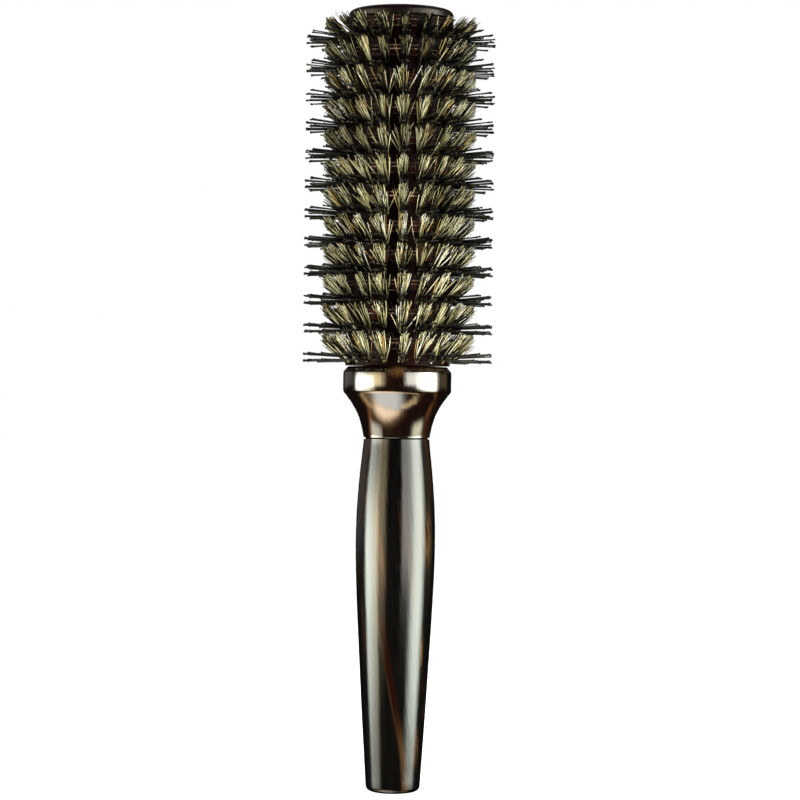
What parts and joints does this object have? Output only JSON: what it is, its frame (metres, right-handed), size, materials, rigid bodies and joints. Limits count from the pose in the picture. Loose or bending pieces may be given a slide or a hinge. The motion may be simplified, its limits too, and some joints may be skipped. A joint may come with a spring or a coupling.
{
  "type": "round barrel brush",
  "caption": "Round hair brush: turned lacquered wooden handle, flared collar and a wooden barrel set with rows of straight nylon quills and boar bristle leaning to the tip.",
  "frame": {"origin": "centre of the flat end of the handle", "axes": "+Z along the brush's axis from the handle's end to the barrel's end; +X along the first tuft row's direction"},
  "size_m": [0.06, 0.06, 0.246],
  "materials": {
    "lacquered_wood": "dark espresso wood under clear high-gloss lacquer, with warm brown streaks along the grain",
    "barrel_wood": "dark red-brown wood under gloss lacquer",
    "black_lacquer": "black gloss lacquer on wood",
    "plain_wood": "bare pale wood, unseen",
    "nylon_quill": "black nylon with small balls at the tips",
    "boar_bristle": "natural boar bristle, straw, gold, brown and dark hairs mixed"
  },
  "bodies": {
    "root": {"handle": "lacquered_wood", "collar": "lacquered_wood", "barrel": "barrel_wood", "end_cap": "black_lacquer", "barrel_core": "plain_wood", "dowel": "plain_wood", "quill_row_01": "nylon_quill", "quill_row_02": "nylon_quill", "quill_row_03": "nylon_quill", "quill_row_04": "nylon_quill", "quill_row_05": "nylon_quill", "quill_row_06": "nylon_quill", "quill_row_07": "nylon_quill", "quill_row_08": "nylon_quill", "quill_row_09": "nylon_quill", "quill_row_10": "nylon_quill", "quill_row_11": "nylon_quill", "quill_row_12": "nylon_quill", "quill_row_13": "nylon_quill", "quill_row_14": "nylon_quill", "quill_row_15": "nylon_quill", "quill_row_16": "nylon_quill", "quill_row_17": "nylon_quill", "quill_row_18": "nylon_quill", "quill_row_19": "nylon_quill", "quill_row_20": "nylon_quill", "boar_row_01": "boar_bristle", "boar_row_02": "boar_bristle", "boar_row_03": "boar_bristle", "boar_row_04": "boar_bristle", "boar_row_05": "boar_bristle", "boar_row_06": "boar_bristle", "boar_row_07": "boar_bristle", "boar_row_08": "boar_bristle", "boar_row_09": "boar_bristle", "boar_row_10": "boar_bristle", "boar_row_11": "boar_bristle", "boar_row_12": "boar_bristle", "boar_row_13": "boar_bristle", "boar_row_14": "boar_bristle", "boar_row_15": "boar_bristle", "boar_row_16": "boar_bristle", "boar_row_17": "boar_bristle", "boar_row_18": "boar_bristle", "boar_row_19": "boar_bristle", "boar_row_20": "boar_bristle"}
  },
  "joints": []
}
